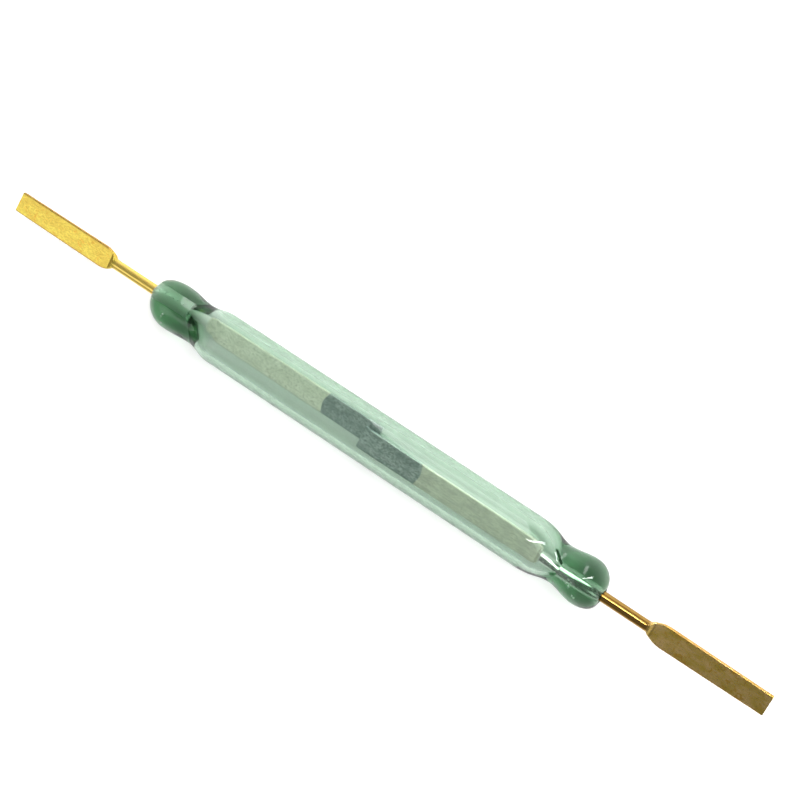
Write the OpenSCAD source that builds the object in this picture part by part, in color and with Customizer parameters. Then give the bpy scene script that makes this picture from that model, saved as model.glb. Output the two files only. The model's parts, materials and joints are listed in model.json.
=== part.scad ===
// Glass reed switch, normally open: two nickel-iron reed wires, pressed flat at both ends,
// are sealed into the drawn-down ends of a glass tube so that their plated tips overlap with a gap.
// The tube's axis runs along X and the flats face along Z. The origin is the middle of the tube.

/* [Glass envelope] */
// Length of the glass over both beads
glass_len = 52; // [46:0.5:60]
// Outside diameter of the barrel
barrel_d = 5.2; // [5:0.05:6]
// Wall of the barrel
glass_wall = 0.7; // [0.5:0.05:0.8]
// Length of the rounded shoulder from the barrel down to the waist
shoulder_len = 2.6; // [1.8:0.1:3.2]
// Diameter of the waist between the barrel and the bead
waist_d = 4.1; // [3.8:0.05:4.5]
// Length from the waist to the widest place of the bead
neck_len = 2.85; // [2.2:0.05:3.4]
// Diameter of the bead at its widest place
bead_d = 4.76; // [4.5:0.02:5]
// Length of the bead's domed end, beyond its widest place
dome_len = 2.5; // [1.8:0.05:3.2]
// Glass left beside the wire on the flat end of the dome
rim_edge = 0.12; // [0.05:0.01:0.3]

/* [Seals] */
// Length of solid glass round each wire
seal_len = 4.4; // [3.8:0.1:5.2]
// Length of the funnel in which the cavity closes on the wire
funnel_len = 3.4; // [2.4:0.1:4]

/* [Reed wires] */
// Diameter of the round wire
wire_d = 1.05; // [0.9:0.01:1.2]
// Length of round wire between the glass and the solder tail
stem_len = 4.9; // [3:0.1:8]
// Length of round wire between the seal and the reed blade
inner_stem_len = 2.1; // [1.2:0.1:2.8]
// Length over which the press squeezes the round wire down to a flat
press_len = 0.5; // [0.3:0.05:0.8]
// Sideways shift of each wire from the tube's axis, in opposite directions
stagger = 0.3; // [0:0.02:0.4]

/* [Solder tails] */
// Length of the flat tail with its shoulder
tail_len = 12.3; // [8:0.1:16]
// Length of the bullet-shaped shoulder in which the wire spreads to the tail
tail_shoulder_len = 2.1; // [1.2:0.1:3]
// Width of the tail at its shoulder
tail_root_w = 2.24; // [1.8:0.02:2.6]
// Width of the tail at its cut end
tail_tip_w = 2.1; // [1.6:0.02:2.4]
// Thickness of the tail
tail_t = 0.4; // [0.3:0.02:0.5]

/* [Reed blades] */
// Length of the bullet-shaped shoulder in which the wire spreads to the blade
blade_shoulder_len = 1.3; // [0.8:0.1:2.2]
// Width of the blade at its root
blade_root_w = 2.04; // [1.6:0.02:2.4]
// Width of the blade at its tip
blade_tip_w = 2.2; // [1.8:0.02:2.5]
// Thickness of the blade
blade_t = 0.4; // [0.3:0.02:0.5]
// Length over which the two tips overlap
tip_overlap = 1.3; // [0.8:0.05:2]
// Bevel on the two edges of the tip
tip_bevel = 0.13; // [0.05:0.01:0.14]
// Distance of the flexing section from the root of the blade
flex_from_root = 2.2; // [1.5:0.1:5]
// Slit across the flexing section, between the fixed wire and the moving blade
flex_slit = 0.02; // [0.01:0.01:0.05]

/* [Contacts] */
// Open gap between the two plated tips
contact_gap = 0.25; // [0.1:0.01:0.4]
// Thickness of the contact plating
plating_t = 0.02; // [0.01:0.01:0.05]
// Length of the plating from the tip
plating_len = 6.45; // [4:0.05:9]
// How far the edge of the plating bows towards the root
plating_bow = 0.28; // [0.1:0.01:0.4]

/* [Hidden] */
$fn = 96;

// Straight pieces to one curve of an outline
curve_steps = 12;
// Room round the parts for the solids that cut them
cut_room = 1;

left = -1;
right = 1;

// Radii, and the places along X on the right-hand half
wire_r = wire_d / 2;
barrel_r = barrel_d / 2;
bore_r = barrel_r - glass_wall;
wire_z = (blade_t + contact_gap) / 2 + plating_t;
rim_r = norm([stagger, wire_z]) + wire_r + rim_edge;
glass_x = glass_len / 2;
bead_x = glass_x - dome_len;
waist_x = bead_x - neck_len;
barrel_x = waist_x - shoulder_len;
seal_x = glass_x - seal_len;
funnel_x = seal_x - funnel_len;
neck_x = seal_x - inner_stem_len;
root_x = neck_x - blade_shoulder_len;
flex_x = root_x - flex_from_root;
tip_x = -tip_overlap / 2;
tail_x = glass_x + stem_len;
tail_root_x = tail_x + tail_shoulder_len;
end_x = tail_x + tail_len;
plating_x = tip_x + plating_len;
plating_bow_r = (pow(blade_tip_w / 2, 2) + pow(plating_bow, 2)) / (2 * plating_bow);
// Each press ramp starts on the round wire, just before the wire widens
press_lead = 0.1;
// Half thickness at which the press tools stand clear of the round wire
press_z = wire_r + press_lead;

glass_color = [0.36, 0.62, 0.48, 0.5];
gold_color = [0.85, 0.70, 0.30];
reed_color = [0.64, 0.65, 0.56];
contact_color = [0.40, 0.48, 0.47];

// Curves between two outline points, without the first: an S, one that starts flat,
// one like the nose of a bullet that ends flat, and a quarter ellipse
function steps() = [for (i = [1:curve_steps]) i / curve_steps];
function blend(a, b, t, s) = [a.x + (b.x - a.x) * t, a.y + (b.y - a.y) * s];
function s_curve(a, b) = [for (t = steps()) blend(a, b, t, (1 - cos(180 * t)) / 2)];
function fall_off(a, b) = [for (t = steps()) blend(a, b, t, pow(t, 1.5))];
function bullet(a, b) = [for (t = steps()) blend(a, b, pow(t, 1.5), sin(90 * t))];
function dome(a, b) = [for (t = steps()) blend(a, b, sin(90 * t), 1 - cos(90 * t))];

// Solid of revolution about X under an outline of [x, radius] points
module turned(outline) {
    first = [outline[0].x, 0];
    last = [outline[len(outline) - 1].x, 0];
    rotate([0, 90, 0])
        rotate_extrude()
            polygon([for (p = concat([first], outline, [last])) [p.y, p.x]]);
}

function reversed(points) = [for (i = [len(points) - 1:-1:0]) points[i]];

// Outline of the right-hand half and its mirror image, from end to end
function both_halves(half) = concat([for (p = reversed(half)) [-p.x, p.y]], half);

// Puts a right-hand wire or its bore on its own line through the tube
module on_wire_line(side)
    translate([0, -side * stagger, side * wire_z])
        rotate([0, 0, side == left ? 180 : 0])
            children();

// Outside of the glass: barrel, shoulder, waist, bead and domed end
module glass_outside() {
    barrel_end = [barrel_x, barrel_r];
    waist = [waist_x, waist_d / 2];
    bead = [bead_x, bead_d / 2];
    rim = [glass_x, rim_r];
    turned(both_halves(concat([barrel_end], s_curve(barrel_end, waist), s_curve(waist, bead), dome(bead, rim))));
}

// Gas space inside: the bore, with a funnel at each end that closes on the wire
module glass_cavity() {
    bore_end = [funnel_x, bore_r];
    throat = [seal_x, wire_r];
    turned(both_halves(concat([bore_end], fall_off(bore_end, throat))));
}

module wire_bore()
    translate([funnel_x, 0, 0])
        rotate([0, 90, 0])
            cylinder(r = wire_r, h = glass_x - funnel_x + cut_room);

module glass_envelope()
    color(glass_color)
        difference() {
            glass_outside();
            glass_cavity();
            for (side = [left, right])
                on_wire_line(side) wire_bore();
        }

// Length of the straight press ramp from a flat of one thickness until it stands clear of the wire
function ramp_len(flat_t) = (press_len + press_lead) * (press_z - flat_t / 2) / (wire_r - flat_t / 2);

// Slab between a side profile of [x, half thickness] points and its mirror image below
module pressed(profile) {
    below = [for (p = reversed(profile)) [p.x, -p.y]];
    rotate([90, 0, 0])
        linear_extrude(height = 2 * barrel_r, center = true)
            polygon(concat(profile, below));
}

// One whole reed wire: the plan outline is turned about the wire's axis and pressed to its side profile,
// which leaves the round wire in the middle and a flat with gently rounded edges at each end
module reed_wire() {
    blade_root = [root_x, blade_root_w / 2];
    blade_neck = [neck_x, wire_r];
    tail_neck = [tail_x, wire_r];
    tail_root = [tail_root_x, tail_root_w / 2];
    blade_flat_x = neck_x - press_len;
    tail_flat_x = tail_x + press_len;
    intersection() {
        turned(concat([[tip_x, blade_tip_w / 2]], reversed(bullet(blade_neck, blade_root)), [blade_neck],
                      [tail_neck], bullet(tail_neck, tail_root), [[end_x, tail_tip_w / 2]]));
        pressed([[tip_x, blade_t / 2 - tip_bevel], [tip_x + tip_bevel, blade_t / 2],
                 [blade_flat_x, blade_t / 2], [blade_flat_x + ramp_len(blade_t), press_z],
                 [tail_flat_x - ramp_len(tail_t), press_z], [tail_flat_x, tail_t / 2],
                 [end_x, tail_t / 2]]);
    }
}

// Everything between two places along X
module between(from_x, to_x)
    translate([from_x, -barrel_r, -barrel_r])
        cube([to_x - from_x, barrel_d, barrel_d]);

// Fixed part of a reed wire: solder tail, stem and the root of the blade
module lead(side)
    color(gold_color)
        on_wire_line(side)
            intersection() {
                reed_wire();
                between(flex_x + flex_slit / 2, end_x + cut_room);
            }

// Moving part of a reed wire: the blade from the flexing section to the tip
module reed(side)
    color(reed_color)
        on_wire_line(side)
            intersection() {
                reed_wire();
                between(tip_x - cut_room, flex_x - flex_slit / 2);
            }

// Plating round the tip of a blade, with a bowed edge towards the root
module contact(side)
    color(contact_color)
        on_wire_line(side)
            difference() {
                intersection() {
                    turned([[tip_x - plating_t, blade_tip_w / 2 + plating_t],
                            [root_x, blade_root_w / 2 + plating_t]]);
                    pressed([[tip_x - plating_t, blade_t / 2 - tip_bevel + plating_t],
                             [tip_x - plating_t + tip_bevel, blade_t / 2 + plating_t],
                             [root_x, blade_t / 2 + plating_t]]);
                    union() {
                        between(tip_x - cut_room, plating_x - plating_bow_r);
                        translate([plating_x - plating_bow_r, 0, 0])
                            cylinder(r = plating_bow_r, h = barrel_d, center = true);
                    }
                }
                reed_wire();
            }

module left_lead() lead(left);
module left_reed() reed(left);
module left_contact() contact(left);
module right_lead() lead(right);
module right_reed() reed(right);
module right_contact() contact(right);

glass_envelope();
left_lead();
left_reed();
left_contact();
right_lead();
right_reed();
right_contact();
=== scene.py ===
import json
import math

import bpy
import numpy as np
from mathutils import Matrix, Vector


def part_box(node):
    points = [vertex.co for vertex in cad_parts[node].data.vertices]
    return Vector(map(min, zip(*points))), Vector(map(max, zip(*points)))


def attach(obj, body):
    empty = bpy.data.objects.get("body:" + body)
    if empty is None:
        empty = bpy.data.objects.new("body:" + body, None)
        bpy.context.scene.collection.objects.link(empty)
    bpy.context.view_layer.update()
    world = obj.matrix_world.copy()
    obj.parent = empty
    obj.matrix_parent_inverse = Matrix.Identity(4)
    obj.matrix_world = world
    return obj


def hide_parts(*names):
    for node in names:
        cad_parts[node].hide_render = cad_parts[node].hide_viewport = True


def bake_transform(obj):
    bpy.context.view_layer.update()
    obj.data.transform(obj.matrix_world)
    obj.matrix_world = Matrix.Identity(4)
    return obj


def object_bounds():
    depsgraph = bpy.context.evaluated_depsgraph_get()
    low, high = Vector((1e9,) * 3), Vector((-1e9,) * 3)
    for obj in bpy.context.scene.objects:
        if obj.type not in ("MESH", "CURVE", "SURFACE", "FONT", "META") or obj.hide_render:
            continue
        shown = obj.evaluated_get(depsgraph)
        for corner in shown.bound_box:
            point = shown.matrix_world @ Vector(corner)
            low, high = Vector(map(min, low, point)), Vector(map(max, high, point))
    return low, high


# Glass reed switch: the looks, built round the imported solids, in metres
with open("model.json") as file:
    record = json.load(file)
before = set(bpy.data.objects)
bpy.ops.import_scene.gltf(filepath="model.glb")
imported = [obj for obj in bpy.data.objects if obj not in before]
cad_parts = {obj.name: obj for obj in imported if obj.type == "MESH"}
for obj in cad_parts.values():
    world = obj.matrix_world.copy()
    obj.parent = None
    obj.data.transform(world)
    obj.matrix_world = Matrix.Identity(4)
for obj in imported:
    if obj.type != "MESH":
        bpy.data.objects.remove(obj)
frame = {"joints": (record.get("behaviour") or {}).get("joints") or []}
cadLow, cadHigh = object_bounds()
scene = bpy.context.scene
scene.view_settings.view_transform = "Standard"
mm = 0.001
leftSide, rightSide = -1, 1
crispAngle = math.radians(35)  # edges sharper than this stay crisp

# Sizes that the solids give, for the right-hand wire: the left-hand one is its point mirror
glassHalf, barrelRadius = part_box("glass_envelope")[1].x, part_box("glass_envelope")[1].z
leadLow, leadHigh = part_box("right_lead")
reedLow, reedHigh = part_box("right_reed")
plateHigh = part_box("right_contact")[1]
wireRadius = (leadHigh.z - leadLow.z) / 2
wireY = (leadHigh.y + leadLow.y) / 2
wireZ = (leadHigh.z + leadLow.z) / 2
flatThick = (reedHigh.z - reedLow.z) / 2  # half thickness of the flats
tipWidth = (reedHigh.y - reedLow.y) / 2  # half widths
tailWidth = (leadHigh.y - leadLow.y) / 2
hingeX = max(joint["pos_m"][0] for joint in frame["joints"])


def sideName(side):
    return "right" if side == rightSide else "left"


def ease(t):
    # half a cosine wave: level at 0 and at 1
    return (1 - np.cos(np.pi * t)) / 2


def joinRows(rows):
    # stretches of a profile put one after the other, as one array for each measure
    return np.stack([np.concatenate(column) for column in zip(*rows)])


def gridQuads(rows, columns, closeRows=False):
    # quads of a grid that wraps round in its columns, and in its rows if asked
    i, j = np.meshgrid(np.arange(rows if closeRows else rows - 1), np.arange(columns), indexing="ij")
    nextI, nextJ = (i + 1) % rows, (j + 1) % columns
    corners = [i * columns + j, i * columns + nextJ, nextI * columns + nextJ, nextI * columns + j]
    return np.stack(corners, axis=-1).reshape(-1, 4)


def addPiece(name, points, faces):
    mesh = bpy.data.meshes.new(name)
    mesh.from_pydata(points.reshape(-1, 3).tolist(), [], faces)
    mesh.validate()
    mesh.shade_smooth()
    piece = bpy.data.objects.new(name, mesh)
    scene.collection.objects.link(piece)
    print(name, len(mesh.vertices), "points,", len(mesh.polygons), "faces")
    return piece


def loft(name, x, y, z, side):
    # rings of points round the line of a wire, joined along X and closed by a cap at each end;
    # on the left X runs the other way, so the faces are turned round
    rows, columns = y.shape
    points = np.stack([np.broadcast_to(x, y.shape) * side, y + wireY * side, z + wireZ * side], axis=-1)
    quads = gridQuads(rows, columns)
    firstCap, lastCap = np.arange(columns), np.arange(columns) + (rows - 1) * columns
    if side == rightSide:
        faces = quads.tolist() + [firstCap[::-1].tolist(), lastCap.tolist()]
    else:
        faces = quads[:, ::-1].tolist() + [firstCap.tolist(), lastCap[::-1].tolist()]
    piece = addPiece(name, points, faces)
    piece.data.set_sharp_from_angle(angle=crispAngle)
    return piece


# Camera, fitted to the photograph's perspective
cameraLook = {
    "axisAngle": 33.08,  # slope of the switch across the picture, degrees
    "nearEnd": 14.6,  # how far the right-hand end leans to the camera, degrees
    "roll": 20.0,  # how far the camera stands to the +Y side of the flats, degrees
    "distance": 172.8 * mm,
    "pixelFocal": 1861.0,  # focal length in pixels of the picture
    "picture": 800.0,
    "middle": (370.3, 437.3),  # pixel of the middle of the tube
    "sensor": 36.0,  # width in Blender's millimetres
    "clip": (0.001, 50.0),
}


def addCamera(look):
    # it looks at the switch from the direction back, rolled so that the switch slopes across the picture
    lean, roll, slope = (math.radians(look[key]) for key in ("nearEnd", "roll", "axisAngle"))
    back = Vector((math.sin(lean), math.cos(lean) * math.sin(roll), math.cos(lean) * math.cos(roll)))
    along = (Vector((1, 0, 0)) - back.x * back).normalized()
    across = back.cross(along)
    right = math.cos(slope) * along + math.sin(slope) * across
    up = -math.sin(slope) * along + math.cos(slope) * across
    pixel = look["distance"] / look["pixelFocal"]
    offX = (look["middle"][0] - look["picture"] / 2) * pixel
    offY = (look["picture"] / 2 - look["middle"][1]) * pixel
    data = bpy.data.cameras.new("camera")
    data.sensor_width = look["sensor"]
    data.lens = look["pixelFocal"] / look["picture"] * look["sensor"]
    data.clip_start, data.clip_end = look["clip"]
    camera = bpy.data.objects.new("camera", data)
    place = back * look["distance"] - right * offX - up * offY
    camera.matrix_world = Matrix.Translation(place) @ Matrix((right, up, back)).transposed().to_4x4()
    scene.collection.objects.link(camera)
    scene.camera = camera
    print("camera at", [round(v / mm, 1) for v in place], "mm")


addCamera(cameraLook)

# Glass tube: drawn barrel, two beaded ends melted on to the wires, seed bubbles in the beads
glassLook = {
    "left": {
        "creep": 0.25 * mm,  # how far the glass creeps out along the wire
        "dome": 2.65 * mm,  # lengths of the dome, the neck and the shoulder
        "neck": 2.95 * mm,
        "shoulder": 2.5 * mm,
        "onset": 1.0,  # power that starts the shoulder more gently when it is large
        "bead": 2.38 * mm,  # largest and smallest radius of the end
        "waist": 2.13 * mm,
        "rim": 0.26 * mm,  # glass beside the wire where the dome ends
        "dish": 0.0,  # depth of the hollow round the wire
        "funnel": 3.4 * mm,  # length of the funnel below and above the wire
        "topFunnel": 4.5 * mm,
        "straight": 0.6,  # share of the funnel that is a plain cone
    },
    "right": {
        "creep": 0.0,
        "dome": 2.05 * mm,
        "neck": 2.8 * mm,
        "shoulder": 4.0 * mm,
        "onset": 1.7,
        "bead": 2.36 * mm,
        "waist": 1.95 * mm,
        "rim": 0.26 * mm,
        "dish": 0.14 * mm,
        "funnel": 3.6 * mm,
        "topFunnel": 3.6 * mm,
        "straight": 0.4,
    },
    "wall": 0.7 * mm,
    "seal": 4.4 * mm,  # length of solid glass round each wire
    "film": 0.03 * mm,  # glass left on the wire where it creeps out along it
    "coreShare": 0.8,  # in the seal the glass closes inside the wire, at this share of its radius
    "throat": 0.3 * mm,  # length in which it comes out to the wire's surface again
    "beadFollow": 0.38,  # share of the wire's shift that the bead takes
    "funnelFollow": 1.2,  # power with which the funnel gives up that shift
    "curveSteps": 32,
    "lipStep": 4,  # creep and dish have one step for this many of a larger curve
    "barrelSteps": 24,
    "columns": 144,
}
bubbleLook = {
    # distance from the middle, Y, Z and radius in millimetres
    "left": [
        (23.4, -0.5, 1.35, 0.11), (23.5, -0.75, 1.25, 0.09), (23.3, -1.3, 1.15, 0.1),
        (24.9, 0.67, 0.14, 0.07), (24.3, 0.7, 0.12, 0.08), (23.9, 0.64, 0.15, 0.06),
        (23.5, 0.68, 0.14, 0.08), (23.1, 0.7, 0.12, 0.08), (22.7, 0.66, 0.16, 0.06),
        (22.4, 0.7, 0.12, 0.08),
    ],
    "right": [
        (22.9, -0.6, 1.15, 0.1), (23.2, -0.78, 1.1, 0.11), (23.8, -1.2, 1.2, 0.09),
        (24.0, -1.26, 1.15, 0.08), (21.7, -1.2, 1.0, 0.1),
    ],
    "rings": 7,
    "columns": 12,
    # the bubbles' painted white glint
    "color": (0.95, 0.95, 0.95),
    "rough": 0.4,
}


def wireExit(side):
    # where the wire leaves the glass
    return glassHalf - glassLook[sideName(side)]["dish"]


def glassHalfProfile(look, side):
    # one half from the middle out to the rim and back inside it, as rows of x, radius, the share of the
    # wire's shift, and how much further along X the upper side lies, as the funnel may run out longer there;
    # neck and shoulder are half cosine waves, the shoulder's of a power of the way, the dome is a quarter
    # ellipse, the creep along the wire and the dish round it are quarter waves, and the funnel is a straight
    # cone that ends in a parabola along the bore
    end = look[sideName(side)]
    t = np.linspace(0, 1, look["curveSteps"] + 1)[1:]
    wave, fall, quarter = ease(t), ease(t ** end["onset"]), np.pi / 2 * t
    lip = quarter[look["lipStep"] - 1::look["lipStep"]]
    beadX = glassHalf - end["creep"] - end["dome"]
    waistX = beadX - end["neck"]
    barrelX = waistX - end["shoulder"]
    sealX = glassHalf - look["seal"]
    funnelX = sealX - end["funnel"]
    bead, waist, follow, cone = end["bead"], end["waist"], look["beadFollow"], end["straight"]
    rim, film = wireRadius + end["rim"], wireRadius + look["film"]
    core, bore = wireRadius * look["coreShare"], barrelRadius - look["wall"]
    spread = 2 / (1 + cone) * (t - np.maximum(t - cone, 0) ** 2 / (2 * (1 - cone)))
    funnelRadius = wireRadius + (bore - wireRadius) * spread
    domeX, domeRadius = beadX + end["dome"] * np.sin(quarter), rim + (bead - rim) * np.cos(quarter)
    outX = np.linspace(0, barrelX, look["barrelSteps"] + 1)
    boreX = np.linspace(funnelX, 0, look["barrelSteps"] + 1)[1:]
    outside = [
        (outX, np.full_like(outX, barrelRadius), np.zeros_like(outX)),
        (barrelX + end["shoulder"] * t, barrelRadius + (waist - barrelRadius) * fall, follow * fall / 2),
        (waistX + end["neck"] * t, waist + (bead - waist) * wave, follow * (1 + wave) / 2),
        (domeX, domeRadius, follow + (1 - follow) * wave),
    ]
    inside = [
        ([wireExit(side), sealX + look["throat"], sealX], [core, core, wireRadius], np.ones(3)),
        (sealX - end["funnel"] * t, funnelRadius, 1 - t ** look["funnelFollow"]),
        (boreX, np.full_like(boreX, bore), np.zeros_like(boreX)),
    ]
    if end["creep"] > 0:
        creepX = glassHalf - end["creep"] * np.cos(lip)
        outside.append((creepX, film + (rim - film) * (1 - np.sin(lip)), np.ones_like(lip)))
    if end["dish"] > 0:
        dishX = glassHalf - end["dish"] * np.sin(lip)
        inside.insert(0, (dishX, rim + (wireRadius - rim) * (1 - np.cos(lip)), np.ones_like(lip)))
    outside, inside = joinRows(outside), joinRows(inside)
    more = (end["funnel"] - end["topFunnel"]) * np.interp(inside[0], [0, funnelX, sealX], [0, 1, 0])
    return np.vstack([outside, 0 * outside[0]]), np.vstack([inside, more])


def bubbleSurface(x, y, z, radius, firstPoint):
    # a small sphere from latitude rings and two poles, facing inwards because it is a hollow in the glass
    rings, columns = bubbleLook["rings"], bubbleLook["columns"]
    tilt = np.linspace(0, np.pi, rings + 2)[1:-1, None]
    turn = np.linspace(0, 2 * np.pi, columns, endpoint=False)[None, :]
    ball = [np.cos(tilt) + 0 * turn, np.sin(tilt) * np.cos(turn), np.sin(tilt) * np.sin(turn)]
    unit = np.concatenate([np.stack(ball, axis=-1).reshape(-1, 3), [[1, 0, 0], [-1, 0, 0]]])
    points = unit * radius + [x, y, z]
    j = np.arange(columns)
    nextJ, lastRing, pole = (j + 1) % columns, (rings - 1) * columns, np.full(columns, rings * columns)
    firstFan = np.stack([pole, nextJ, j], axis=1)
    lastFan = np.stack([pole + 1, lastRing + j, lastRing + nextJ], axis=1)
    fans = np.concatenate([firstFan, lastFan])
    return points, (gridQuads(rings, columns) + firstPoint).tolist() + (fans + firstPoint).tolist()


def addGlass(look):
    # a closed profile turned about X, its circles shifted sideways to follow the wires, and their upper
    # sides moved along X by the square of the sine of the angle
    rightOut, rightIn = glassHalfProfile(look, rightSide)
    leftOut, leftIn = glassHalfProfile(look, leftSide)
    flip = np.array([[-1.0], [1.0], [-1.0], [-1.0]])
    profile = [leftOut[:, :0:-1] * flip, rightOut, rightIn[:, :-1], leftIn[:, ::-1] * flip]
    x, r, shift, more = np.concatenate(profile, axis=1)[:, :, None]
    angle = np.linspace(0, 2 * np.pi, look["columns"], endpoint=False)
    points = np.stack([
        x + more * np.maximum(np.sin(angle), 0) ** 2,
        shift * wireY + r * np.cos(angle),
        shift * wireZ + r * np.sin(angle),
    ], axis=-1).reshape(-1, 3)
    faces = gridQuads(len(x), len(angle), closeRows=True).tolist()
    tubeFaces = len(faces)
    for side in (leftSide, rightSide):
        for bubble in bubbleLook[sideName(side)]:
            bubbleX, bubbleY, bubbleZ, radius = (value * mm for value in bubble)
            ballPoints, ballFaces = bubbleSurface(bubbleX * side, bubbleY, bubbleZ, radius, len(points))
            points, faces = np.concatenate([points, ballPoints]), faces + ballFaces
    piece = addPiece("glassTube", points, faces)
    inBubble = np.arange(len(faces)) >= tubeFaces
    piece.data.polygons.foreach_set("material_index", inBubble.astype(np.int32))
    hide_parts("glass_envelope")
    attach(piece, "capsule")
    return piece


glassTube = addGlass(glassLook)

# Reed wires: one drawn wire each, pressed flat into a blade inside and a solder tail outside
wireLook = {
    "left": {
        "neck": 19.5 * mm,  # where the round wire starts to spread to the blade
        "root": 1.9 * mm,  # length of the blade's shoulder, and of the press ramp on it
        "rootRamp": 0.55 * mm,
        "stem": 5.15 * mm,  # round wire between the glass and the tail
        "tail": 1.5 * mm,  # length of the tail's shoulder, and of the press ramp on it
        "tailRamp": 0.5 * mm,
        "tailNose": 0.7,
        "cutSkew": 0.12 * mm,  # how far the sheared end of the tail runs out of square
    },
    "right": {
        "neck": 19.4 * mm,
        "root": 0.8 * mm,
        "rootRamp": 0.4 * mm,
        "stem": 4.9 * mm,
        "tail": 1.8 * mm,
        "tailRamp": 0.5 * mm,
        "tailNose": 0.85,
        "cutSkew": 0.0,
    },
    "rootNose": 0.667,  # this and tailNose are powers that make the shoulders blunter when small
    "cutReach": 1 * mm,  # the skew of the cut fades out over this length
    "bladeRootWidth": 1.02 * mm,  # half widths
    "tailTipWidth": 1.05 * mm,
    "bevel": 0.13 * mm,
    "bevelRun": 0.36 * mm,  # length of the sloping tip
    "edge": 0.11 * mm,  # rounding of the long edges of the flats
    "bendReach": 2.5 * mm,  # the bend is spread this far to each side of the hinge
    "arcSteps": 8,
    "flatSteps": 10,
    "bladeRows": 60,
    "shoulderRows": 40,
    "crowding": 1.6,  # power that crowds the rows of a shoulder towards the round wire
    "stemRows": 20,  # inside the glass, and as many outside it
    "tailRows": 29,
}


def ringShape(arcSteps, flatSteps):
    # rounded rectangle as corner signs and directions: point = (size - radius) * sign + radius * direction
    turn = np.linspace(0, np.pi / 2, arcSteps + 1)
    slide = np.cos(np.linspace(0, np.pi, flatSteps + 1))[1:-1]
    signs, ways = [], []
    for quarter, (signY, signZ) in enumerate([(1, 1), (-1, 1), (-1, -1), (1, -1)]):
        angle = turn + quarter * np.pi / 2
        flat = np.tile([signY, signZ], (flatSteps - 1, 1)).astype(float)
        flat[:, quarter % 2] *= slide
        signs += [np.tile([signY, signZ], (arcSteps + 1, 1)), flat]
        ways += [np.stack([np.cos(angle), np.sin(angle)], axis=1),
                 np.tile([np.cos(angle[-1]), np.sin(angle[-1])], (flatSteps - 1, 1))]
    return np.concatenate(signs), np.concatenate(ways)


def ringPoints(width, thick, corner, look):
    # one rounded rectangle for each half width, half thickness and corner radius
    signs, ways = ringShape(look["arcSteps"], look["flatSteps"])
    corner = np.minimum(corner, np.minimum(width, thick))
    y = (width - corner)[:, None] * signs[:, 0] + corner[:, None] * ways[:, 0]
    z = (thick - corner)[:, None] * signs[:, 1] + corner[:, None] * ways[:, 1]
    return y, z


def swage(s, ramp, nose, fullWidth, edge):
    # s runs from 0 on the round wire to 1 on the full flat: in plan a sine of a power of s, like the nose of
    # a bullet, and in height a short half cosine wave
    press = ease(np.clip(s / ramp, 0, 1))
    width = wireRadius + (fullWidth - wireRadius) * np.sin(np.pi / 2 * s ** nose)
    thick = wireRadius + (flatThick - wireRadius) * press
    return width, thick, wireRadius + (edge - wireRadius) * np.sqrt(press)


def wireStations(look, end, glassX):
    # x, half width, half thickness and corner radius along the wire, from the tip of the blade to the end
    # of the tail, with one station at glassX, where the wire leaves the glass
    tipX, endX, neckX, tailX = reedLow.x, leadHigh.x, end["neck"], glassHalf + end["stem"]
    rootX, fullX = neckX - end["root"], tailX + end["tail"]
    rootWidth, edge = look["bladeRootWidth"], look["edge"]
    tipThick = flatThick - look["bevel"]
    s = (np.linspace(0, 1, look["shoulderRows"] + 1) ** look["crowding"])[1:]
    bladeX = np.linspace(tipX + look["bevelRun"], rootX, look["bladeRows"])
    bladeWidth = np.interp(bladeX, [tipX, rootX], [tipWidth, rootWidth])
    root = swage(s[:-1], end["rootRamp"] / end["root"], look["rootNose"], rootWidth, edge)
    innerStem = np.linspace(neckX, glassX, look["stemRows"])
    outerStem = np.linspace(glassX, tailX, look["stemRows"] + 1)[1:]
    stemX = np.concatenate([innerStem, outerStem])
    wireRound = np.full_like(stemX, wireRadius)
    tail = swage(s, end["tailRamp"] / end["tail"], end["tailNose"], tailWidth, edge)
    flatX = np.linspace(fullX, endX, look["tailRows"] + 1)[1:]
    flatWidth = np.interp(flatX, [fullX, endX], [tailWidth, look["tailTipWidth"]])
    return joinRows([
        ([tipX], [tipWidth], [tipThick], [tipThick]),
        (bladeX, bladeWidth, np.full_like(bladeX, flatThick), np.full_like(bladeX, edge)),
        [column[::-1] for column in (neckX - end["root"] * s[:-1], *root)],
        (stemX, wireRound, wireRound, wireRound),
        (tailX + end["tail"] * s, *tail),
        (flatX, flatWidth, np.full_like(flatX, flatThick), np.full_like(flatX, edge)),
    ])


def addWire(look, side):
    # rounded sections lofted along the wire, gold-plated outside the glass and bare inside it; the cut at
    # the end of the tail is skewed by an amount that rises in a straight line across the width
    end = look[sideName(side)]
    x, width, thick, corner = wireStations(look, end, wireExit(side))
    y, z = ringPoints(width, thick, corner, look)
    nearCut = np.clip((x - leadHigh.x) / look["cutReach"] + 1, 0, 1)
    cut = nearCut[:, None] * (1 + y / tailWidth) / 2
    piece = loft(sideName(side) + "ReedWire", x[:, None] - cut * end["cutSkew"], y, z, side)
    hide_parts(sideName(side) + "_lead", sideName(side) + "_reed")
    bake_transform(piece)
    return piece


wires = {side: addWire(wireLook, side) for side in (leftSide, rightSide)}

# Contacts: plating wrapped round the tip of each blade, its edge bowed towards the root
contactLook = {
    "skin": 0.018 * mm,
    "sunk": 0.006 * mm,  # the inner side lies this deep in the blade
    "bow": 0.28 * mm,
    "ripple": 0.03 * mm,  # unevenness of the plating's edge
    "rippleTurn": 5.0,  # radians that the ripple turns from the middle to the side of the blade
    "rippleStart": 1.0,  # and its angle in the middle
    "longer": {"left": -0.15 * mm, "right": 0.3 * mm},
    "rows": 24,
}


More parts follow.
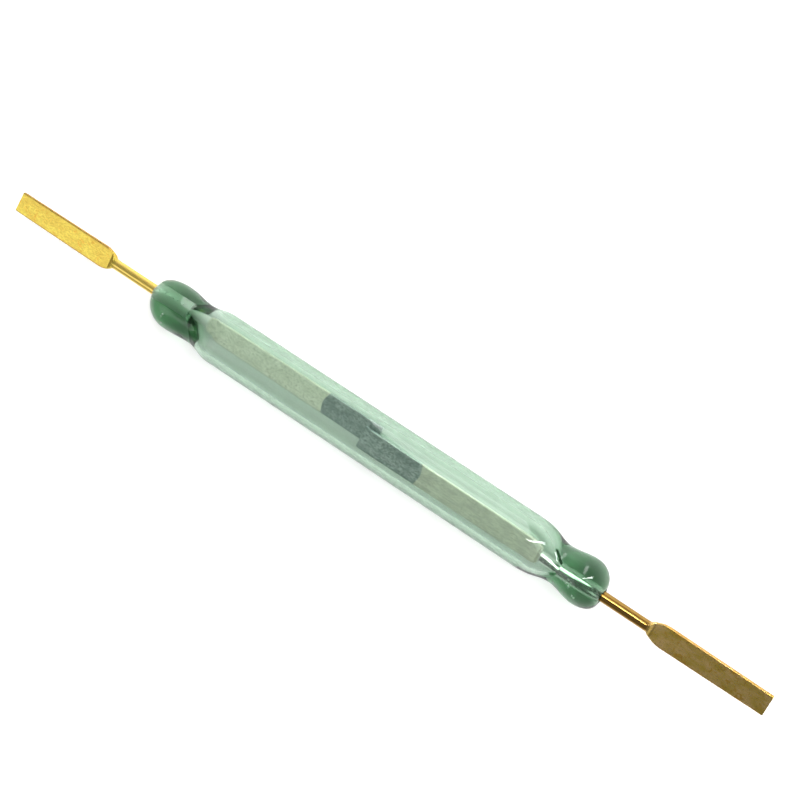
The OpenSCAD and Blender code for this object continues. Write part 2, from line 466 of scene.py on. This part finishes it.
def contactSurface(skin, look, side):
    # blade section grown by the skin: rows run from the tip to an edge that is a parabola across the width,
    # with a sine for its ripple
    tipX, farX = reedLow.x - skin, plateHigh.x + look["longer"][sideName(side)]
    bevel, edge = wireLook["bevel"], wireLook["edge"] + skin
    t = np.r_[0, np.linspace(0, 1, look["rows"])]
    thick = np.full(len(t), flatThick + skin)
    thick[0] -= bevel
    share = np.interp(t * (farX - tipX), [0, hingeX], [0, 1])
    width = tipWidth + (wireLook["bladeRootWidth"] - tipWidth) * share + skin
    y, z = ringPoints(width, thick, np.full(len(t), edge), wireLook)
    across = y / width[:, None]
    firstX = np.where(np.arange(len(t)) == 0, tipX, tipX + wireLook["bevelRun"])[:, None]
    ripple = look["ripple"] * np.sin(look["rippleTurn"] * across + look["rippleStart"])
    edgeX = farX - look["bow"] * across ** 2 + ripple
    return firstX + (edgeX - firstX) * t[:, None], y, z


def addContact(look, side):
    # a thin cup: the outer skin from the tip to the edge, then the inner one back to the tip
    outer, inner = contactSurface(look["skin"], look, side), contactSurface(-look["sunk"], look, side)
    x, y, z = (np.concatenate([a, b[::-1]]) for a, b in zip(outer, inner))
    piece = loft(sideName(side) + "Contact", x, y, z, side)
    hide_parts(sideName(side) + "_contact")
    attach(piece, sideName(side) + "_blade")
    return piece


contacts = {side: addContact(contactLook, side) for side in (leftSide, rightSide)}


def put(tree, kind, inputs=None, **settings):
    # a shader node with its settings, and its sockets set to a value or linked to another socket
    node = tree.nodes.new("ShaderNode" + kind)
    for key, value in settings.items():
        setattr(node, key, value)
    for key, value in (inputs or {}).items():
        if isinstance(value, bpy.types.NodeSocket):
            tree.links.new(value, node.inputs[key])
        else:
            node.inputs[key].default_value = value
    return node


def calc(tree, operation, *values):
    return put(tree, "Math", dict(enumerate(values)), operation=operation).outputs[0]


def mixValues(tree, factor, first, second):
    return put(tree, "Mix", {0: factor, 2: first, 3: second}, data_type="FLOAT").outputs[0]


def mixColors(tree, factor, first, second):
    node = put(tree, "Mix", {0: factor}, data_type="RGBA")
    for socket, value in ((node.inputs[6], first), (node.inputs[7], second)):
        if isinstance(value, bpy.types.NodeSocket):
            tree.links.new(value, socket)
        else:
            socket.default_value = (*value, 1.0)
    return node.outputs[2]


def mapRange(tree, value, fromLow, fromHigh, toLow, toHigh):
    sockets = {"Value": value, "From Min": fromLow, "From Max": fromHigh, "To Min": toLow, "To Max": toHigh}
    return put(tree, "MapRange", sockets, interpolation_type="SMOOTHSTEP").outputs["Result"]


# Pressed grain, shared by the metals: noise with X times its stretch, spread between its edges
grainLook = {
    "Blotch": {"scale": "Blotch Scale", "stretch": 0.45, "edges": (0.32, 0.68),
               "noise": {"Detail": 4.0, "Roughness": 0.6}},
    "Grain": {"scale": "Grain Scale", "stretch": 0.45, "edges": None,
              "noise": {"Detail": 2.0, "Roughness": 0.7}},
    "Spots": {"scale": "Blotch Scale", "stretch": 1.0, "edges": (0.58, 0.7),
              "noise": {"Detail": 2.0, "Distortion": 1.5}},
    "Lines": {"scale": "Grain Scale", "stretch": 0.03, "edges": (0.35, 0.65),
              "noise": {"Detail": 1.0}},
}


def grainGroup(look):
    # soft blotches, fine rolled grain, spots and long drawing lines, then the distances from the middle of
    # the switch and from the line of the wire, and 0 on the left or 1 on the right
    group = bpy.data.node_groups.new("pressedGrain", "ShaderNodeTree")
    for name in ("Blotch Scale", "Grain Scale"):
        group.interface.new_socket(name, in_out="INPUT", socket_type="NodeSocketFloat")
    for name in (*look, "Reach", "Across", "Side"):
        group.interface.new_socket(name, in_out="OUTPUT", socket_type="NodeSocketFloat")
    inner = group.nodes.new("NodeGroupInput")
    outer = group.nodes.new("NodeGroupOutput")
    place = put(group, "TexCoord").outputs["Object"]
    for name, field in look.items():
        drawn = put(group, "Mapping", {"Vector": place, "Scale": (field["stretch"], 1.0, 1.0)})
        scale = inner.outputs[field["scale"]]
        noise = put(group, "TexNoise", {"Vector": drawn.outputs["Vector"], "Scale": scale, **field["noise"]})
        value = noise.outputs["Fac"]
        if field["edges"]:
            value = mapRange(group, value, *field["edges"], 0.0, 1.0)
        group.links.new(value, outer.inputs[name])
    parts = put(group, "SeparateXYZ", {0: place})
    side = calc(group, "SIGN", parts.outputs["X"])
    wireLine = calc(group, "MULTIPLY", side, wireY)
    off = calc(group, "SUBTRACT", parts.outputs["Y"], wireLine)
    group.links.new(calc(group, "ABSOLUTE", parts.outputs["X"]), outer.inputs["Reach"])
    group.links.new(calc(group, "ABSOLUTE", off), outer.inputs["Across"])
    group.links.new(mapRange(group, side, -1.0, 1.0, 0.0, 1.0), outer.inputs["Side"])
    return group


pressedGrain = grainGroup(grainLook)

# Metals: pairs are for the left and the right wire, and flatRough's for the low and the high grain; a colour
# pair is one metal on both wires, painted lighter on one wire and darker on the other as painted light and
# shade
metalLook = {
    "speckEdges": (0.48, 0.6),  # values of the grain between which the specks and the roughness change
    "roughEdges": (0.3, 0.7),
    "edgeToneFrom": (0.78, 0.98),  # shares of the tail's half width between which the flats turn to their darker edge colour
    "edgeTone": 0.8,
    "stemFade": 0.2 * mm,  # half the length over which the flats' finish passes into the stem's
    "stemOverlap": 1 * mm,  # how far a stem's finish runs on past the end of the glass
    "bumpDepth": 0.02 * mm,
}
goldLook = {
    # the same gold on both tails: the two colours differ only as painted light and shade for each side
    "flatWithSideShade": ((0.78, 0.63, 0.115), (0.95, 0.66, 0.28)),
    "deep": (0.68, 0.49, 0.09),
    "stain": (0.7, 0.42, 0.07),
    "speck": (0.5, 0.36, 0.06),
    "edge": (0.6, 0.32, 0.08),
    # the same gold on both stems: the left-hand one is painted lighter and the right-hand one darker, as
    # painted light and shade
    "stemWithSideShade": ((0.97, 0.72, 0.17), (0.43, 0.25, 0.06)),
    "blotch": 1400.0,  # this and grain are noise scales, lines and speckle shares of colour
    "grain": 7000.0,
    "lines": 0.15,
    "speckle": 0.22,
    "flatRough": (0.25, 0.35),
    "stemRough": (0.3, 0.16),
    "bump": 0.05,
    "metallic": 1.0,
}
reedLook = {
    # the same bare metal on both blades: the left-hand one is painted lighter and the right-hand one darker,
    # as painted light and shade
    "flatWithSideShade": ((0.98, 0.97, 0.86), (0.58, 0.57, 0.5)),
    "deep": (0.8, 0.8, 0.68),
    "stain": (0.64, 0.63, 0.52),
    "speck": (0.5, 0.5, 0.41),
    "edge": (0.74, 0.72, 0.62),
    "stemWithSideShade": ((0.95, 0.95, 0.92), (0.9, 0.9, 0.88)),
    "blotch": 1800.0,
    "grain": 7500.0,
    "lines": 0.35,
    "speckle": 0.6,
    "flatRough": (0.42, 0.56),
    "stemRough": (0.38, 0.18),
    "bump": 0.25,
    "metallic": 0.35,
    "stemMetallic": (0.15, 0.9),  # the left-hand stem is dull with oxide
}
plateLook = {
    "flatWithSideShade": ((0.66, 0.72, 0.72), (0.7, 0.76, 0.75)),
    "deep": (0.4, 0.45, 0.46),
    "stain": (0.38, 0.42, 0.42),
    "speck": (0.27, 0.31, 0.31),
    "edge": (0.42, 0.47, 0.47),
    "blotch": 2200.0,
    "grain": 7500.0,
    "lines": 0.2,
    "speckle": 0.7,
    "flatRough": (0.38, 0.52),
    "bump": 0.3,
    "metallic": 1.0,
}


def metal(name, look, stem=None):
    # pressed flats are satin and blotched; the round wire, between the two distances in stem, is smooth
    mat = bpy.data.materials.new(name)
    mat.use_nodes = True
    tree = mat.node_tree
    bsdf = tree.nodes["Principled BSDF"]
    scales = {"Blotch Scale": look["blotch"], "Grain Scale": look["grain"]}
    grain = put(tree, "Group", scales, node_tree=pressedGrain).outputs
    specks = mapRange(tree, grain["Grain"], *metalLook["speckEdges"], 0.0, look["speckle"])
    drawn = calc(tree, "MULTIPLY", grain["Lines"], look["lines"])
    edgeToneFrom, edgeToneTo = (share * tailWidth for share in metalLook["edgeToneFrom"])
    # near their long edges the flats take the darker edge colour
    edgeTone = mapRange(tree, grain["Across"], edgeToneFrom, edgeToneTo, 0.0, metalLook["edgeTone"])
    # painted light and shade: the flats of the same metal take one colour on the left-hand wire and another
    # on the right
    color = mixColors(tree, grain["Side"], *look["flatWithSideShade"])
    color = mixColors(tree, grain["Blotch"], color, look["deep"])
    color = mixColors(tree, grain["Spots"], color, look["stain"])
    color = mixColors(tree, specks, color, look["speck"])
    color = mixColors(tree, drawn, color, look["deep"])
    color = mixColors(tree, edgeTone, color, look["edge"])
    rough = mapRange(tree, grain["Grain"], *metalLook["roughEdges"], *look["flatRough"])
    bsdf.inputs["Metallic"].default_value = look["metallic"]
    if stem:
        fade = metalLook["stemFade"]
        rise = mapRange(tree, grain["Reach"], stem[0] - fade, stem[0] + fade, 0.0, 1.0)
        fall = mapRange(tree, grain["Reach"], stem[1] - fade, stem[1] + fade, 1.0, 0.0)
        onStem = calc(tree, "MULTIPLY", rise, fall)
        # the stems' colour, one for each wire: painted light and shade on the same metal
        color = mixColors(tree, onStem, color, mixColors(tree, grain["Side"], *look["stemWithSideShade"]))
        rough = mixValues(tree, onStem, rough, mapRange(tree, grain["Side"], 0.0, 1.0, *look["stemRough"]))
        if "stemMetallic" in look:
            oxide = mapRange(tree, grain["Side"], 0.0, 1.0, *look["stemMetallic"])
            tree.links.new(mixValues(tree, onStem, look["metallic"], oxide), bsdf.inputs["Metallic"])
    tree.links.new(color, bsdf.inputs["Base Color"])
    tree.links.new(rough, bsdf.inputs["Roughness"])
    relief = {"Strength": look["bump"], "Distance": metalLook["bumpDepth"], "Height": grain["Grain"]}
    tree.links.new(put(tree, "Bump", relief).outputs["Normal"], bsdf.inputs["Normal"])
    return mat


goldStem = (glassHalf - metalLook["stemOverlap"], glassHalf + wireLook["right"]["stem"])
bareStem = (wireLook["right"]["neck"], glassHalf + metalLook["stemOverlap"])
goldPlate = metal("goldPlate", goldLook, goldStem)
reedMetal = metal("reedMetal", reedLook, bareStem)
contactPlating = metal("contactPlating", plateLook)

# Green glass, and its bubbles with a painted white glint on their skin
tubeLook = {
    "ior": 1.5,
    "gloss": 0.85,
    "absorbed": (0.465, 0.29, 0.42),  # red, green and blue, as a power of e for each millimetre
}


def greenGlass(look):
    # clear glass that swallows red most
    mat = bpy.data.materials.new("greenGlass")
    mat.use_nodes = True
    tree = mat.node_tree
    bsdf = tree.nodes["Principled BSDF"]
    bsdf.inputs["Transmission Weight"].default_value = 1.0
    bsdf.inputs["Roughness"].default_value = 0.0
    bsdf.inputs["IOR"].default_value = look["ior"]
    bsdf.inputs["Specular Tint"].default_value = (*[look["gloss"]] * 3, 1.0)
    bsdf.inputs["Base Color"].default_value = (1.0, 1.0, 1.0, 1.0)
    most = max(look["absorbed"])
    kept = [1 - share / most for share in look["absorbed"]]
    volume = put(tree, "VolumeAbsorption", {"Color": (*kept, 1.0), "Density": most / mm})
    tree.links.new(volume.outputs["Volume"], tree.nodes["Material Output"].inputs["Volume"])
    return mat


def paintedSeedGlint(look):
    # the skin of a seed bubble is painted white, a painted glint standing for the sparkle of the bubble
    mat = bpy.data.materials.new("paintedSeedGlint")
    mat.use_nodes = True
    bsdf = mat.node_tree.nodes["Principled BSDF"]
    bsdf.inputs["Base Color"].default_value = (*look["color"], 1.0)
    bsdf.inputs["Roughness"].default_value = look["rough"]
    return mat


glassTube.data.materials.append(greenGlass(tubeLook))
glassTube.data.materials.append(paintedSeedGlint(bubbleLook))
for side in (leftSide, rightSide):
    mesh = wires[side].data
    mesh.materials.append(goldPlate)
    mesh.materials.append(reedMetal)
    centers = np.zeros(len(mesh.polygons) * 3)
    mesh.polygons.foreach_get("center", centers)
    sealed = np.abs(centers[0::3]) < wireExit(side)
    mesh.polygons.foreach_set("material_index", sealed.astype(np.int32))
    contacts[side].data.materials.append(contactPlating)
print("materials", [mat.name for mat in bpy.data.materials])

# Floor and light
stageLook = {
    "floorHalf": 3.0,
    "floorColor": 0.9,
    "cameraGlow": (0.4, 1.0),  # added where the camera sees the floor straight, near the switch and far off
    "farFrom": (0.1, 0.4),  # distances between which it grows
    "glow": 0.18,  # added where the floor is mirrored or seen through the glass
    "horizon": 1.6,
    "mirroredHorizon": 0.7,  # the walls are weaker in mirror images, so that they don't veil the glass
    "ceiling": 0.2,
    "wallRise": (0.12, 0.36),  # sines of the angle above the horizon where walls end and ceiling starts
    # keyBox and topBox light the glass, the left-hand tail mirrors tailBox, and bandBox only shows as a pale
    # band along the barrel
    "boxes": {
        "keyBox": {"way": (-0.018, 0.873, 0.487), "distance": 0.51, "size": (0.24, 0.22), "radiance": 8.5,
                   "lights": True, "mirrored": False},
        "topBox": {"way": (0.42, 0.47, 0.77), "distance": 0.5, "size": (0.45, 0.25), "radiance": 5.9,
                   "lights": True, "mirrored": False},
        "tailBox": {"way": (-0.47, -0.36, 0.81), "distance": 0.5, "size": (0.22, 0.3), "radiance": 1.35,
                    "lights": True, "mirrored": True},
        "bandBox": {"way": (-0.18, 0.906, 0.384), "distance": 0.5, "size": (0.07, 0.384), "radiance": 5.3,
                    "lights": False, "mirrored": True},
    },
    # a narrow lamp between two directions, which only glints
    "bar": {"ends": ((-0.075, 0.41, 0.905), (0.375, 0.79, 0.48)), "distance": 0.5, "width": 0.035,
            "radiance": 30.0, "lights": False, "mirrored": True},
}


def seenGlow(tree, look):
    # one strength for camera rays, which grows with the distance, another for mirrored and refracted ones
    path = put(tree, "LightPath").outputs
    place = put(tree, "TexCoord").outputs["Object"]
    away = put(tree, "VectorMath", {0: place}, operation="LENGTH").outputs["Value"]
    grown = mapRange(tree, away, *look["farFrom"], *look["cameraGlow"])
    bent = calc(tree, "MAXIMUM", path["Is Glossy Ray"], path["Is Transmission Ray"])
    weak = calc(tree, "MULTIPLY", bent, look["glow"])
    strong = calc(tree, "MULTIPLY", path["Is Camera Ray"], grown)
    return calc(tree, "MAXIMUM", weak, strong)


def addFloor(look):
    half, z = look["floorHalf"], cadLow.z
    corners = [(-half, -half, z), (half, -half, z), (half, half, z), (-half, half, z)]
    mesh = bpy.data.meshes.new("floor")
    mesh.from_pydata(corners, [], [(0, 1, 2, 3)])
    floor = bpy.data.objects.new("floor", mesh)
    scene.collection.objects.link(floor)
    mat = bpy.data.materials.new("floorWhite")
    mat.use_nodes = True
    tree = mat.node_tree
    tree.nodes.remove(tree.nodes["Principled BSDF"])
    paper = put(tree, "BsdfDiffuse", {"Color": (*[look["floorColor"]] * 3, 1.0)})
    light = put(tree, "Emission", {"Strength": seenGlow(tree, look)})
    both = put(tree, "AddShader", {0: paper.outputs[0], 1: light.outputs[0]})
    tree.links.new(both.outputs[0], tree.nodes["Material Output"].inputs["Surface"])
    mesh.materials.append(mat)


def addWorld(look):
    # pale walls along the horizon under a darker ceiling
    world = bpy.data.worlds.new("studio")
    scene.world = world
    world.use_nodes = True
    tree = world.node_tree
    background = tree.nodes["Background"]
    background.inputs["Color"].default_value = (1.0, 1.0, 1.0, 1.0)
    way = put(tree, "SeparateXYZ", {0: put(tree, "TexCoord").outputs["Generated"]})
    bounced = put(tree, "LightPath").outputs["Is Glossy Ray"]
    walls = mixValues(tree, bounced, look["horizon"], look["mirroredHorizon"])
    strength = mapRange(tree, way.outputs["Z"], *look["wallRise"], walls, look["ceiling"])
    tree.links.new(strength, background.inputs["Strength"])


def addLamp(name, place, turn, size, look):
    # a rectangle of even radiance; lights: it lights surfaces, mirrored: it shows in what is glossy
    data = bpy.data.lights.new(name, "AREA")
    data.shape = "RECTANGLE"
    data.size, data.size_y = size
    data.energy = look["radiance"] * math.pi * size[0] * size[1]
    lamp = bpy.data.objects.new(name, data)
    lamp.matrix_world = Matrix.Translation(place) @ turn.to_4x4()
    lamp.visible_camera = False
    lamp.visible_glossy = look["mirrored"]
    lamp.visible_diffuse = lamp.visible_transmission = look["lights"]
    scene.collection.objects.link(lamp)


def addLights(look):
    for name, box in look["boxes"].items():
        way = Vector(box["way"]).normalized()
        turn = way.to_track_quat("Z", "Y").to_matrix()
        addLamp(name, way * box["distance"], turn, box["size"], box)
    bar = look["bar"]
    first, second = (Vector(end).normalized() * bar["distance"] for end in bar["ends"])
    middle, along = (first + second) / 2, second - first
    back = middle.normalized()
    side = (along - along.dot(back) * back).normalized()
    turn = Matrix((side, back.cross(side), back)).transposed()
    addLamp("barLight", middle, turn, (along.length, bar["width"]), bar)


addFloor(stageLook)
addWorld(stageLook)
addLights(stageLook)
scene.cycles.max_bounces = 24
scene.cycles.transmission_bounces = 24
scene.cycles.glossy_bounces = 8
scene.cycles.blur_glossy = 0.0  # light that came through the glass keeps its lines
scene.cycles.sample_clamp_indirect = 100.0  # and the glints their strength
print("stage set")
